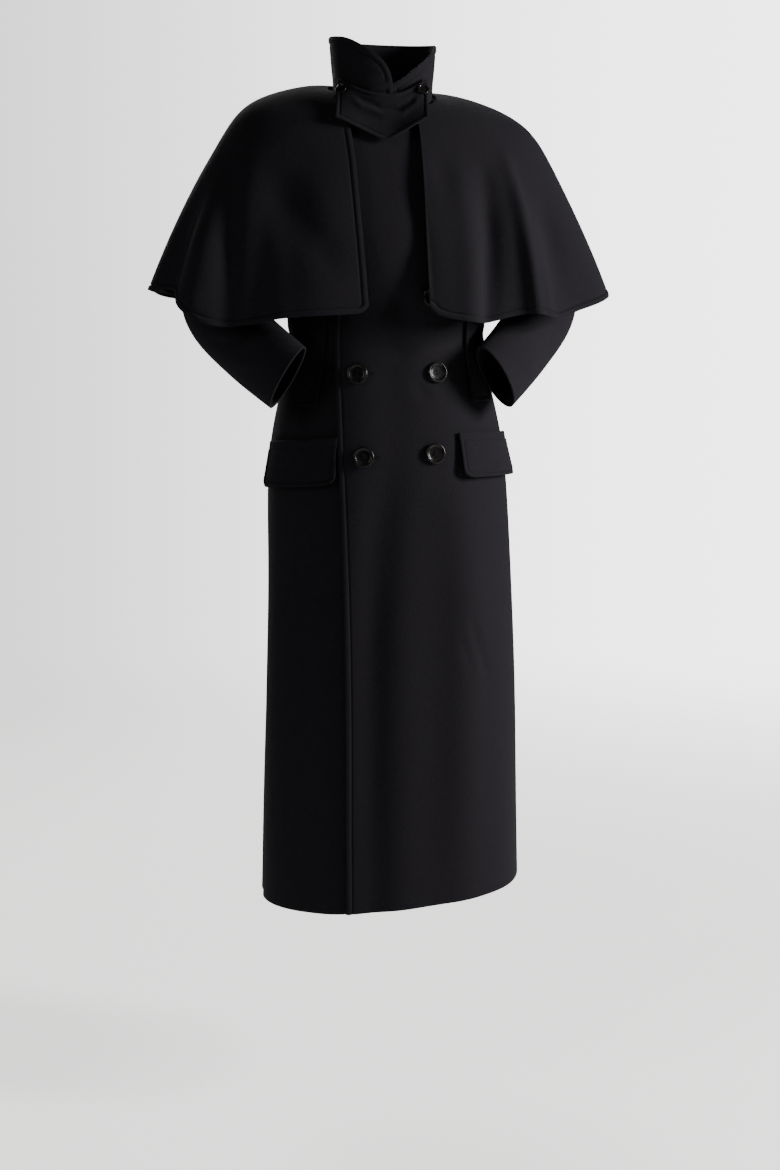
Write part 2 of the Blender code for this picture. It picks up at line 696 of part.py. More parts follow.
def main():
    for leftover in list(bpy.data.objects):
        bpy.data.objects.remove(leftover)
    scene = bpy.context.scene.collection
    coat = bpy.data.collections.new("double_breasted_cape_coat")
    cutters = bpy.data.collections.new("cutters")
    scene.children.link(coat)
    scene.children.link(cutters)
    wool = material("black_wool", WOOL_COLOUR, 0.9)
    horn = material("black_button", BUTTON_COLOUR, 0.2)

    def add_cloth(name, columns, rows, place, thickness=CLOTH, tube=False):
        return add_object(name, cloth_mesh(name, columns, rows, place, thickness, tube), coat, wool)

    add_cloth("back", 20, sum(BODY_ROWS), back_place)
    for side, hand in ((1, "left"), (-1, "right")):
        add_cloth(f"front_{hand}", 12, sum(BODY_ROWS), front_place(side))
        add_cloth(f"sleeve_{hand}", 16, sum(SLEEVE_ROWS), sleeve_place(side), tube=True)
        add_cloth(f"cape_front_{hand}", 20, 11, cape_front_place(side))
        add_cloth(f"welt_{hand}", 3, 8, welt_place(side), TWO_PLY)
        add_cloth(f"pocket_jet_{hand}", 8, 1, jet_place(side), TWO_PLY)
        add_cloth(f"pocket_flap_{hand}", 12, 4, flap_place(side), TWO_PLY)
    add_cloth("cape_back", 32, 11, cape_back_place)
    add_cloth("collar", 44, 5, collar_place, TWO_PLY)
    add_cloth("throat_tab", 16, 5, tab_place, TWO_PLY)

    large = button_mesh(FRONT_BUTTON, cutters, horn)
    small = button_mesh(TAB_BUTTON, cutters, horn)
    for side, hand in ((1, "left"), (-1, "right")):
        for row, (height, left, right) in enumerate(BUTTON_ROWS, start=1):
            point, normal = front_button_place(side, height, left if side > 0 else right)
            place_button(f"front_button_{hand}_{row}", large, point, normal, SEAM_GAP, coat, horn)
        point, normal = tab_button_place(side)
        place_button(f"tab_button_{hand}", small, point, normal, TAB_BUTTON_LIFT, coat, horn)


main()
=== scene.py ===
# %% [markdown]
# A long double-breasted coat of black felted wool, with a shoulder cape, a stand-up collar and a
# throat tab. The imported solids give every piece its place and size. This lesson dresses them: each
# cloth solid becomes a thin shell with its own creases and stitched edges, each button a turned and
# drilled disc with its thread, and every surface gets a procedural finish.

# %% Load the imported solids
import math
from collections import namedtuple

import bmesh
import bpy
import numpy as np
from mathutils import Matrix, Vector
from mathutils.bvhtree import BVHTree
from mathutils.kdtree import KDTree


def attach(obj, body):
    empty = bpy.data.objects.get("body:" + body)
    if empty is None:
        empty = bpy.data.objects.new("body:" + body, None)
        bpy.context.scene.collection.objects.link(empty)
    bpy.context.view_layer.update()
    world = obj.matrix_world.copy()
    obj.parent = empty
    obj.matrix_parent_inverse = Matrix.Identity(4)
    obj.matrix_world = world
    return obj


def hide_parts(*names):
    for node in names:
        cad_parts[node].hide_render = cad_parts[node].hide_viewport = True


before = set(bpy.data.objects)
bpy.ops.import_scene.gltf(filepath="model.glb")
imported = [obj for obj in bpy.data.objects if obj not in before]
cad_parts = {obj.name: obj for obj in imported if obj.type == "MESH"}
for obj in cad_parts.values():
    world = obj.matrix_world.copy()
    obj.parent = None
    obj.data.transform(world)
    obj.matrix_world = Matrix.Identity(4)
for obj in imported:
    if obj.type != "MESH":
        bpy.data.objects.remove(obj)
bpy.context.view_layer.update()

# %% [markdown]
# The camera comes first, because every crease below is judged through it. It stands a little to the
# coat's right of its centre front, at about waist height, and looks slightly down. A long lens keeps
# the shoulders and the hem in proportion. Its turn, tilt and lens follow the photograph.

# %% Camera
PHOTO_HEIGHT = 1170
PHOTO_FOCAL = 2055
PHOTO_SHIFT = 4
SENSOR = 36.0
CAMERA_TURN = math.radians(8)
CAMERA_TILT = math.radians(7.09)
CAMERA_DISTANCE = 3.2
CAMERA_HEIGHT = -0.35

camera_data = bpy.data.cameras.new("studio_camera")
camera_data.sensor_width = SENSOR
camera_data.lens = PHOTO_FOCAL / PHOTO_HEIGHT * SENSOR
camera_data.shift_x = PHOTO_SHIFT / PHOTO_HEIGHT
camera = bpy.data.objects.new("studio_camera", camera_data)
bpy.context.scene.collection.objects.link(camera)
ahead = Vector((math.sin(CAMERA_TURN), math.cos(CAMERA_TURN), 0))
camera.location = -CAMERA_DISTANCE * ahead + Vector((0, 0, CAMERA_HEIGHT))
camera.rotation_euler = (math.pi / 2 - CAMERA_TILT, 0, -CAMERA_TURN)
bpy.context.scene.camera = camera
print("camera:", [round(v, 3) for v in camera.location], "lens:", round(camera_data.lens, 2), "mm")

# %% [markdown]
# Felted wool is matt and nearly black, with short fibres that lie every way. Three things make it
# read as cloth: a fine nap that breaks up the light, faint mottling where the fibres lie together,
# and a sheen along grazing angles. The nap and the mottling serve the cloth and the thread, so they
# are a node group. The sheen is the same all over, so it is set on each shader's own sockets.

# %% Felt node group
FELT_INPUTS = [
    ("Dark", "NodeSocketColor"), ("Light", "NodeSocketColor"), ("Mottle Scale", "NodeSocketFloat"),
    ("Fibre Scale", "NodeSocketFloat"), ("Roughness", "NodeSocketFloat"),
]
FELT_OUTPUTS = [
    ("Colour", "NodeSocketColor"), ("Roughness", "NodeSocketFloat"), ("Height", "NodeSocketFloat"),
]
FIBRE_SHARE = 0.6         # weight of the fibres beside the mottling
FELT_SPREAD = (0.55, 1.05)    # where their sum is dark, and where it is light
MOTTLE_ROUGHENS = 0.12    # how much rougher the palest mottles are


def set_inputs(node, **values):
    """Sets a node's inputs by name, with _ for a space."""
    for name, value in values.items():
        node.inputs[name.replace("_", " ")].default_value = value


def add_node(tree, kind, **values):
    """A new node with some of its inputs set."""
    node = tree.nodes.new(kind)
    set_inputs(node, **values)
    return node


def add_math(tree, operation, second):
    """A new math node whose second number is fixed."""
    node = tree.nodes.new("ShaderNodeMath")
    node.operation = operation
    node.inputs[1].default_value = second
    return node


def add_colour_mix(tree):
    node = tree.nodes.new("ShaderNodeMix")
    node.data_type = "RGBA"
    return node


def make_felt_group():
    """The colour, roughness and nap of felted fibres."""
    group = bpy.data.node_groups.new("felted_fibres", "ShaderNodeTree")
    link = group.links.new
    for in_out, sockets in (("INPUT", FELT_INPUTS), ("OUTPUT", FELT_OUTPUTS)):
        for name, kind in sockets:
            group.interface.new_socket(name, in_out=in_out, socket_type=kind)
    source = group.nodes.new("NodeGroupInput")
    result = group.nodes.new("NodeGroupOutput")
    place = group.nodes.new("ShaderNodeTexCoord")
    mottle = add_node(group, "ShaderNodeTexNoise", Detail=4.0, Roughness=0.6)
    fibre = add_node(group, "ShaderNodeTexNoise", Detail=3.0, Roughness=0.7, Distortion=1.2)
    for noise, scale in ((mottle, "Mottle Scale"), (fibre, "Fibre Scale")):
        link(place.outputs["Object"], noise.inputs["Vector"])
        link(source.outputs[scale], noise.inputs["Scale"])

    both = add_math(group, "MULTIPLY_ADD", FIBRE_SHARE)
    link(fibre.outputs["Fac"], both.inputs[0])
    link(mottle.outputs["Fac"], both.inputs[2])
    spread = add_node(group, "ShaderNodeMapRange", From_Min=FELT_SPREAD[0], From_Max=FELT_SPREAD[1])
    link(both.outputs["Value"], spread.inputs["Value"])
    colour = add_colour_mix(group)
    link(spread.outputs["Result"], colour.inputs["Factor"])
    link(source.outputs["Dark"], colour.inputs["A"])
    link(source.outputs["Light"], colour.inputs["B"])
    rough = add_math(group, "MULTIPLY_ADD", MOTTLE_ROUGHENS)
    link(mottle.outputs["Fac"], rough.inputs[0])
    link(source.outputs["Roughness"], rough.inputs[2])

    link(colour.outputs["Result"], result.inputs["Colour"])
    link(rough.outputs["Value"], result.inputs["Roughness"])
    link(both.outputs["Value"], result.inputs["Height"])
    return group


felt_group = make_felt_group()
print("node group:", felt_group.name, "nodes:", len(felt_group.nodes))

# %% Cloth and thread materials
FELT_ROUGHNESS = 0.85
FELT_SPECULAR = 0.12
SHEEN_WEIGHT = 0.03
SHEEN_ROUGHNESS = 0.42
SHEEN_TINT = (0.62, 0.58, 0.70, 1)


def new_finish(name):
    """A new material, its node tree and its shader."""
    made = bpy.data.materials.new(name)
    made.use_nodes = True
    return made, made.node_tree, made.node_tree.nodes["Principled BSDF"]


def felt_material(name, dark, light, mottle, fibre, nap):
    """A felt or thread finish. Nap is the bump's depth in metres."""
    made, tree, shader = new_finish(name)
    link = tree.links.new
    felt = tree.nodes.new("ShaderNodeGroup")
    felt.node_tree = felt_group
    set_inputs(felt, Dark=(*dark, 1), Light=(*light, 1), Roughness=FELT_ROUGHNESS)
    set_inputs(felt, Mottle_Scale=mottle, Fibre_Scale=fibre)
    bump = add_node(tree, "ShaderNodeBump", Distance=nap)
    link(felt.outputs["Colour"], shader.inputs["Base Color"])
    link(felt.outputs["Roughness"], shader.inputs["Roughness"])
    link(felt.outputs["Height"], bump.inputs["Height"])
    link(bump.outputs["Normal"], shader.inputs["Normal"])
    set_inputs(
        shader, Specular_IOR_Level=FELT_SPECULAR, Sheen_Weight=SHEEN_WEIGHT,
        Sheen_Roughness=SHEEN_ROUGHNESS, Sheen_Tint=SHEEN_TINT,
    )
    made.diffuse_color = (*light, 1)
    return made


black_wool = felt_material(
    "black_wool", dark=(0.0083, 0.0071, 0.0092), light=(0.0113, 0.0098, 0.0125),
    mottle=240.0, fibre=1300.0, nap=0.0004,
)
black_thread = felt_material(
    "black_thread", dark=(0.0060, 0.0060, 0.0065), light=(0.0140, 0.0140, 0.0150),
    mottle=400.0, fibre=2600.0, nap=0.0001,
)
print("materials:", black_wool.name, black_thread.name)

# %% [markdown]
# The buttons are polished black horn: a glossy coat over a body that is not quite even, with faint
# brown clouds, and a polish that handling has dulled in small patches.

# %% Button material
HORN_BLACK = (0.0035, 0.0034, 0.0036, 1)
HORN_BROWN = (0.0130, 0.0105, 0.0090, 1)
HORN_PREVIEW = (0.010, 0.010, 0.011, 1)
CLOUD_SPREAD = (0.40, 0.75)       # where the horn is black, and where it is brown
WEAR_SPREAD = (0.35, 0.75)        # where the polish is whole, and where it is dull
POLISH = (0.24, 0.34)             # the roughness of each


def horn_material():
    made, tree, shader = new_finish("polished_horn")
    link = tree.links.new
    place = tree.nodes.new("ShaderNodeTexCoord")
    cloud = add_node(tree, "ShaderNodeTexNoise", Scale=120.0, Detail=5.0, Distortion=2.0)
    wear = add_node(tree, "ShaderNodeTexNoise", Scale=900.0, Detail=2.0)
    for noise in (cloud, wear):
        link(place.outputs["Object"], noise.inputs["Vector"])
    ramp = tree.nodes.new("ShaderNodeValToRGB")
    for index, colour in enumerate((HORN_BLACK, HORN_BROWN)):
        ramp.color_ramp.elements[index].position = CLOUD_SPREAD[index]
        ramp.color_ramp.elements[index].color = colour
    link(cloud.outputs["Fac"], ramp.inputs["Fac"])
    link(ramp.outputs["Color"], shader.inputs["Base Color"])
    polish = add_node(
        tree, "ShaderNodeMapRange", From_Min=WEAR_SPREAD[0], From_Max=WEAR_SPREAD[1],
        To_Min=POLISH[0], To_Max=POLISH[1],
    )
    link(wear.outputs["Fac"], polish.inputs["Value"])
    link(polish.outputs["Result"], shader.inputs["Roughness"])
    set_inputs(shader, Specular_IOR_Level=0.2, Coat_Weight=0.10, Coat_Roughness=0.12, IOR=1.54)
    made.diffuse_color = HORN_PREVIEW
    return made


polished_horn = horn_material()
print("material:", polished_horn.name)

# %% [markdown]
# A cloth solid is a coarse wall: an outer skin, an inner skin and a narrow rim between them. Its mesh
# comes as loose triangles, so a copy is merged. An edge that runs through the wall is as long as the
# wall is thick and leaves one skin against its normal, so the triangles beside such edges are the rim.
# What is left falls into two skins, and the outer one is larger, because it goes round the outside.

# %% Outer skins
MERGE = 1e-5
WALL_SLACK = 0.004        # share by which an edge through the wall may miss the thickness
LEAN_SLACK = 0.10         # how far it may lean the wrong way from the normals at its ends


def runs_through(edge, wall):
    """Whether an edge joins the outer skin to the inner one."""
    start, end = edge.verts
    way = end.co - start.co
    if abs(way.length - wall) > WALL_SLACK * wall:
        return False
    slants = sorted((way.dot(start.normal) / way.length, way.dot(end.normal) / way.length))
    return slants[0] < LEAN_SLACK and slants[1] > -LEAN_SLACK


def connected(seed, unseen):
    """The faces that can be reached from a seed, taken out of unseen."""
    unseen.remove(seed)
    found = [seed]
    for face in found:
        for edge in face.edges:
            for other in edge.link_faces:
                if other in unseen:
                    unseen.remove(other)
                    found.append(other)
    return found


def outer_skin(node, wall):
    """The solid's outer skin as an open mesh of triangles."""
    skin = bmesh.new()
    skin.from_mesh(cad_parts[node].data)
    bmesh.ops.remove_doubles(skin, verts=skin.verts[:], dist=MERGE)
    skin.normal_update()
    rim = {face for edge in skin.edges if runs_through(edge, wall) for face in edge.link_faces}
    unseen = set(skin.faces) - rim
    sheets = [connected(face, unseen) for face in skin.faces if face in unseen]
    largest = max(sheets, key=lambda sheet: sum(face.calc_area() for face in sheet))
    keep = set(largest)
    bmesh.ops.delete(skin, geom=[face for face in skin.faces if face not in keep], context="FACES")
    return skin


# %% [markdown]
# Four-sided faces subdivide more smoothly than triangles do, so the diagonals have to go. Guessing them
# by shape fails where the cloth's grid is skewed. Counting is safer: four faces meet inside the grid,
# two on its border and one at its corner, so a place with one face still to find gives it away. The
# search starts at the squarest corner and spreads. Round a sleeve no corner gives a start, so there
# the squarest pair of triangles starts each new row.

# %% Grids of four-sided faces
FACES_INSIDE = 4
FACES_ON_BORDER = 2
CORNER_SLACK = math.radians(35)       # how far from a right angle a first corner may be


def corner_turn(vert):
    """How far the border turns from straight at a border vertex."""
    ends = [edge.other_vert(vert).co - vert.co for edge in vert.link_edges if edge.is_boundary]
    return math.pi - ends[0].angle(ends[1])


def off_square(vert):
    return abs(corner_turn(vert) - math.pi / 2)


def skew(edge):
    """How far the corners of the two triangles beside an edge are from right angles."""
    tips = [next(v.co for v in face.verts if v not in edge.verts) for face in edge.link_faces]
    ring = [edge.verts[0].co, tips[0], edge.verts[1].co, tips[1]]
    return sum(
        abs((ring[(i + 1) % 4] - ring[i]).angle(ring[i - 1] - ring[i]) - math.pi / 2) for i in range(4)
    )


def parts_open_pair(edge, open_faces):
    return len(edge.link_faces) == 2 and open_faces.issuperset(edge.link_faces)


def diagonal_at(vert, open_faces):
    """The diagonal of the one face that is still to find at a vertex."""
    faces = [face for face in vert.link_faces if face in open_faces]
    shared = []
    if len(faces) == 2:
        shared = [edge for edge in faces[0].edges if edge in faces[1].edges[:]]
    elif len(faces) == 1:
        shared = [edge for edge in faces[0].edges if vert not in edge.verts]
    return shared[0] if shared and parts_open_pair(shared[0], open_faces) else None


def squarest_diagonal(skin, open_faces):
    """The diagonal of the squarest pair of triangles that is left."""
    pairs = [edge for edge in skin.edges if parts_open_pair(edge, open_faces)]
    return min(pairs, key=lambda edge: (skew(edge), edge.index), default=None)


def pair_triangles(skin):
    """Dissolves the diagonals, and counts the faces that are not four-sided then."""
    border = [vert for vert in skin.verts if vert.is_boundary]
    left = {vert: FACES_ON_BORDER if vert.is_boundary else FACES_INSIDE for vert in skin.verts}
    open_faces = set(skin.faces)
    diagonals = []
    waiting = []
    corner = min(border, key=lambda vert: (off_square(vert), vert.index))
    if off_square(corner) < CORNER_SLACK:
        left[corner] = 1
        waiting.append(corner)
    while open_faces:
        if waiting:
            diagonal = diagonal_at(waiting.pop(), open_faces)
            if diagonal is None:
                continue
        else:
            diagonal = squarest_diagonal(skin, open_faces)
            if diagonal is None:
                break
        diagonals.append(diagonal)
        corners = {vert for face in diagonal.link_faces for vert in face.verts}
        open_faces.difference_update(diagonal.link_faces)
        for vert in sorted(corners, key=lambda vert: vert.index):
            left[vert] -= 1
            if left[vert] == 1:
                waiting.append(vert)
    bmesh.ops.dissolve_edges(skin, edges=diagonals, use_verts=False, use_face_split=False)
    return sum(len(face.verts) != 4 for face in skin.faces)


# %% [markdown]
# The outer skin is now a clean grid, and its border falls into sides, cut at the grid's corners. A
# sewn edge needs finer cloth than the rest, so loops are cut along chosen sides before the grid is
# subdivided. A side is named by the way it lies from the panel's middle.

# %% Sides and loops
UP = Vector((0, 0, 1))
WAYS = {"left": Vector((-1, 0, 0)), "right": Vector((1, 0, 0)), "up": UP, "down": -UP}
LONGEST_CUT = 0.8         # share of a rung beyond which no loop is cut
ROUND_CORNER = 0.35      # how sharp a rounded corner stays


def border_sides(skin):
    """The border as chains of vertices between the grid's corners, or as closed rings."""
    ways = {}
    for edge in skin.edges:
        if edge.is_boundary:
            for vert in edge.verts:
                ways.setdefault(vert, []).append(edge)
    corners = {vert for vert in ways if len(vert.link_faces) == 1}
    unused = {edge for edges in ways.values() for edge in edges}
    sides = []
    for start in sorted(corners, key=lambda v: v.index) or sorted(ways, key=lambda v: v.index):
        for first in ways[start]:
            if first not in unused:
                continue
            side = [start]
            edge = first
            while edge is not None:
                unused.remove(edge)
                side.append(edge.other_vert(side[-1]))
                onward = [other for other in ways[side[-1]] if other in unused]
                edge = onward[0] if onward and side[-1] not in corners else None
            sides.append(side)
    return sides


def side_towards(skin, way):
    """The side whose middle lies farthest that way."""
    def reach(side):
        return sum(vert.co.dot(WAYS[way]) for vert in side) / len(side)

    return max(border_sides(skin), key=reach)


def cut_loop(skin, way, distance):
    """Cuts a loop through the grid at a distance in from one side."""
    side = set(side_towards(skin, way))
    rungs = [edge for edge in skin.edges if sum(vert in side for vert in edge.verts) == 1]
    cuts = []
    for rung in rungs:
        vert = next(v for v in rung.verts if v in side)
        share = min(LONGEST_CUT, distance / rung.calc_length())
        cuts.append(bmesh.utils.edge_split(rung, vert, share)[1])
    bmesh.ops.connect_verts(skin, verts=cuts)


def sharpen_corners(skin, rounded):
    """Keeps the grid's corners sharp in subdivision, and less so where two named sides meet."""
    sharp = skin.verts.layers.float.new("crease_vert")
    soft = set()
    for first, second in rounded:
        soft |= set(side_towards(skin, first)) & set(side_towards(skin, second))
    for vert in skin.verts:
        if len(vert.link_faces) == 1:
            vert[sharp] = ROUND_CORNER if vert in soft else 1.0


# %% [markdown]
# A crease is drawn on the cloth the way a dressmaker would chalk it: a few points as seen from one
# side of the coat, each with its depth, and a half width. Points are given across and up in metres
# and the depth in millimetres, below zero for a trough. It shapes only cloth that faces that side, so
# the same crease runs on over a seam, and over a pocket that lies on the panel.

# %% Creases
Crease = namedtuple("Crease", "azimuth half_width points")
FRONT, LEFT, BACK, RIGHT = 0, 90, 180, 270
MM_IN_METRE = 1000
FACING_GAIN = 2.5         # cloth turned 66 degrees or less away takes a crease in full


def sight(azimuth):
    """The directions across and into a view of the coat."""
    turn = math.radians(azimuth)
    return np.array((math.cos(turn), math.sin(turn), 0)), np.array((-math.sin(turn), math.cos(turn), 0))


def crease_rise(crease, places, normals):
    """How far one crease lifts each place, in metres."""
    across, into = sight(crease.azimuth)
    flat = np.stack([places @ across, places[:, 2]], axis=1)
    rise = np.zeros(len(places))
    nearest = np.full(len(places), np.inf)
    for first, second in zip(crease.points, crease.points[1:]):
        start = np.array(first[:2])
        way = np.array(second[:2]) - start
        share = np.clip((flat - start) @ way / (way @ way), 0, 1)
        off = np.linalg.norm(flat - start - share[:, None] * way, axis=1)
        ease = share * share * (3 - 2 * share)
        depth = first[2] + (second[2] - first[2]) * ease
        closer = off < nearest
        rise[closer] = (depth / MM_IN_METRE * np.exp(-((off / crease.half_width) ** 2)))[closer]
        nearest[closer] = off[closer]
    return rise * np.clip(-(normals @ into) * FACING_GAIN, 0, 1)


# %% Creases of the body
BODY_CREASES = [
    Crease(FRONT, 0.032, [(-0.004, -0.325, 0), (-0.016, -0.390, -3.5), (-0.009, -0.515, -3.5),
                          (-0.032, -0.650, -8.5), (-0.044, -0.800, -10.5), (-0.046, -0.980, -10.0),
                          (-0.046, -1.230, -8.0)]),
    Crease(FRONT, 0.036, [(0.080, -0.560, 0), (0.098, -0.640, 5.5), (0.106, -0.760, 8.5),
                          (0.100, -0.960, 8.0), (0.098, -1.230, 4.0)]),
    Crease(FRONT, 0.0075, [(0.102, -0.770, 0), (0.113, -0.812, -3.0), (0.127, -0.850, -2.5),
                           (0.141, -0.885, 0)]),
    Crease(FRONT, 0.0065, [(0.086, -0.800, 0), (0.099, -0.836, -2.0), (0.113, -0.872, 0)]),
    Crease(FRONT, 0.009, [(0.016, -0.424, 0), (0.035, -0.441, -2.0), (0.055, -0.461, 0)]),
    Crease(FRONT, 0.012, [(-0.030, -0.372, 0), (0.004, -0.384, -2.0), (0.034, -0.380, 0)]),
    Crease(FRONT, 0.026, [(-0.128, -0.610, 0), (-0.140, -0.740, -5.0), (-0.146, -0.920, -5.5),
                          (-0.140, -1.230, -4.0)]),
    Crease(LEFT, 0.011, [(-0.060, -0.352, 0), (-0.010, -0.362, -4.0), (0.050, -0.356, 0)]),
    Crease(LEFT, 0.010, [(-0.030, -0.384, 0), (0.020, -0.392, -3.0), (0.075, -0.384, 0)]),
    Crease(LEFT, 0.024, [(0.010, -0.640, 0), (0.016, -0.820, -5.0), (0.012, -1.230, -5.0)]),
    Crease(RIGHT, 0.011, [(-0.055, -0.350, 0), (0.000, -0.362, -4.0), (0.060, -0.352, 0)]),
    Crease(RIGHT, 0.010, [(-0.080, -0.388, 0), (-0.020, -0.395, -2.5), (0.030, -0.386, 0)]),
    Crease(RIGHT, 0.022, [(-0.020, -0.620, 0), (-0.028, -0.850, -4.0), (-0.024, -1.230, -5.0)]),
    Crease(BACK, 0.016, [(-0.118, -0.190, 0), (-0.090, -0.255, -4.5), (-0.062, -0.330, 0)]),
    Crease(BACK, 0.015, [(0.116, -0.200, 0), (0.092, -0.262, -4.0), (0.070, -0.338, 0)]),
    Crease(BACK, 0.013, [(-0.075, -0.352, 0), (-0.010, -0.366, -4.0), (0.066, -0.356, 0)]),
    Crease(BACK, 0.012, [(-0.040, -0.386, 0), (0.030, -0.394, -3.0), (0.092, -0.384, 0)]),
    Crease(BACK, 0.014, [(-0.110, -0.404, 0), (-0.060, -0.420, 3.0), (0.000, -0.424, 0)]),
    Crease(BACK, 0.020, [(-0.052, -0.460, 0), (-0.060, -0.640, -4.5), (-0.064, -0.860, 0)]),
    Crease(BACK, 0.018, [(0.048, -0.520, 0), (0.056, -0.720, -4.0), (0.058, -0.960, 0)]),
]

# The sides of the waist stand a little fuller than the solids, and the under front lies a little
# deeper beneath the lap.
BODY_CREASES += [
    Crease(LEFT, 0.050, [(-0.070, -0.350, 2.0), (-0.030, -0.364, 5.0), (0.030, -0.364, 5.0),
                         (0.080, -0.350, 2.0)]),
    Crease(RIGHT, 0.050, [(-0.080, -0.350, 2.0), (-0.030, -0.364, 5.0), (0.030, -0.364, 5.0),
                          (0.070, -0.350, 2.0)]),
]
UNDER_CREASES = BODY_CREASES + [
    Crease(FRONT, 0.080, [(0.010, 0.010, -1.4), (0.010, -1.250, -1.4)]),
]

# %% Creases of the cape
CAPE_CREASES = [
    Crease(FRONT, 0.016, [(-0.078, 0.004, 1.5), (-0.080, -0.040, 1.5)]),
    Crease(FRONT, 0.015, [(0.128, -0.085, 0), (0.135, -0.140, -4.5), (0.138, -0.210, -10.0),
                          (0.137, -0.275, -11.5), (0.135, -0.345, -10.0)]),
    Crease(FRONT, 0.018, [(0.088, -0.095, 0), (0.100, -0.165, 3.5), (0.105, -0.250, 4.5),
                          (0.104, -0.345, 4.0)]),
    Crease(FRONT, 0.011, [(0.160, -0.070, 0), (0.172, -0.110, 4.0), (0.186, -0.170, 7.5),
                          (0.198, -0.240, 9.0), (0.210, -0.335, 8.0)]),
    Crease(FRONT, 0.018, [(0.212, -0.140, 0), (0.235, -0.220, -7.5), (0.249, -0.330, -8.5)]),
    Crease(FRONT, 0.020, [(0.054, -0.080, 0), (0.068, -0.120, -3.0), (0.080, -0.170, 0)]),
    Crease(FRONT, 0.018, [(-0.254, -0.085, 0), (-0.272, -0.150, 4.5), (-0.288, -0.215, 7.0),
                          (-0.306, -0.310, 6.0)]),
    Crease(FRONT, 0.018, [(-0.238, -0.085, 0), (-0.246, -0.150, -6.0), (-0.250, -0.220, -10.0),
                          (-0.252, -0.340, -9.0)]),
    Crease(FRONT, 0.020, [(-0.186, -0.170, 0), (-0.180, -0.240, 4.0), (-0.180, -0.345, 4.5)]),
    Crease(FRONT, 0.026, [(-0.206, -0.095, 0), (-0.160, -0.165, -4.5), (-0.116, -0.235, -4.5),
                          (-0.084, -0.290, 0)]),
    Crease(BACK, 0.016, [(-0.150, -0.100, 0), (-0.165, -0.190, -5.0), (-0.176, -0.340, -6.0)]),
    Crease(BACK, 0.017, [(-0.060, -0.110, 0), (-0.070, -0.200, 4.0), (-0.074, -0.345, 5.0)]),
    Crease(BACK, 0.015, [(0.048, -0.120, 0), (0.056, -0.210, -4.5), (0.060, -0.345, -5.0)]),
    Crease(BACK, 0.017, [(0.142, -0.100, 0), (0.160, -0.200, 4.5), (0.172, -0.340, 5.0)]),
]

# %% Creases of the sleeves, the collar and the tab
SLEEVE_CREASES = [
    Crease(FRONT, 0.010, [(-0.300, -0.322, 0), (-0.272, -0.343, -3.5), (-0.240, -0.350, 0)]),
    Crease(FRONT, 0.009, [(-0.285, -0.362, 0), (-0.255, -0.372, -3.0), (-0.222, -0.366, 0)]),
    Crease(FRONT, 0.012, [(-0.258, -0.395, 0), (-0.225, -0.400, 2.5), (-0.190, -0.392, 0)]),
    Crease(FRONT, 0.010, [(0.292, -0.322, 0), (0.262, -0.345, -3.5), (0.228, -0.352, 0)]),
    Crease(FRONT, 0.009, [(0.270, -0.365, 0), (0.240, -0.376, -3.0), (0.206, -0.372, 0)]),
    Crease(FRONT, 0.012, [(0.240, -0.398, 0), (0.206, -0.404, 2.5), (0.176, -0.396, 0)]),
    Crease(BACK, 0.011, [(-0.300, -0.270, 0), (-0.262, -0.296, -4.0), (-0.225, -0.300, 0)]),
    Crease(BACK, 0.010, [(-0.302, -0.318, 0), (-0.268, -0.330, -3.0), (-0.232, -0.326, 0)]),
    Crease(BACK, 0.011, [(0.302, -0.272, 0), (0.266, -0.296, -4.0), (0.230, -0.300, 0)]),
    Crease(BACK, 0.010, [(0.304, -0.318, 0), (0.270, -0.332, -3.0), (0.234, -0.328, 0)]),
]
COLLAR_CREASES = [
    Crease(FRONT, 0.007, [(-0.062, 0.020, 0), (-0.040, 0.028, -1.0), (-0.014, 0.026, 0)]),
    Crease(LEFT, 0.008, [(-0.030, 0.010, 0), (0.004, 0.030, -1.0), (0.016, 0.055, 0)]),
    Crease(RIGHT, 0.008, [(-0.020, 0.020, 0), (0.012, 0.034, -1.0), (0.034, 0.060, 0)]),
]
TAB_CREASES = [
    Crease(FRONT, 0.0045, [(-0.066, 0.000, 0), (-0.046, -0.013, -2.0), (-0.022, -0.024, -3.0),
                           (0.004, -0.025, -3.0), (0.022, -0.016, -2.0), (0.036, 0.000, 0)]),
    Crease(FRONT, 0.0050, [(-0.068, -0.006, 0), (-0.048, -0.024, 2.0), (-0.018, -0.036, 3.0),
                           (0.010, -0.034, 2.5), (0.030, -0.018, 1.5), (0.040, -0.002, 0)]),
    Crease(FRONT, 0.0040, [(-0.050, 0.001, 0), (-0.028, -0.008, 1.5), (-0.004, -0.010, 1.5),
                           (0.018, -0.004, 0)]),
]
all_creases = BODY_CREASES + CAPE_CREASES + SLEEVE_CREASES + COLLAR_CREASES + TAB_CREASES
print("creases:", len(all_creases))

# %% [markdown]
# A swelled edge is a line of stitching a little way in from the edge: the seam allowance inside makes
# the band outside the stitches stand up, and the thread pulls a groove. On the cloth that is a low
# round band and a narrow trough, by each point's distance from the edge.

# %% Swelled edges
BAND_RISE = 0.0009
BAND_FULLNESS = 0.7
GROOVE_DEPTH = 0.0012
GROOVE_HALF = 0.0016
BORDER_STEP = 0.001


def resampled(chain, step):
    """A chain of points as evenly spaced ones."""
    points = np.array(chain)
    along = np.concatenate([[0], np.cumsum(np.linalg.norm(np.diff(points, axis=0), axis=1))])
    marks = np.linspace(0, along[-1], max(2, round(along[-1] / step) + 1))
    return np.stack([np.interp(marks, along, points[:, axis]) for axis in range(3)], axis=1)


def border_distances(places, chains):
    """Each place's distance from the nearest of some border chains."""
    points = np.concatenate([resampled(chain, BORDER_STEP) for chain in chains])
    tree = KDTree(len(points))
    for index, point in enumerate(points):
        tree.insert(point, index)
    tree.balance()
    return np.array([tree.find(place)[2] for place in places])


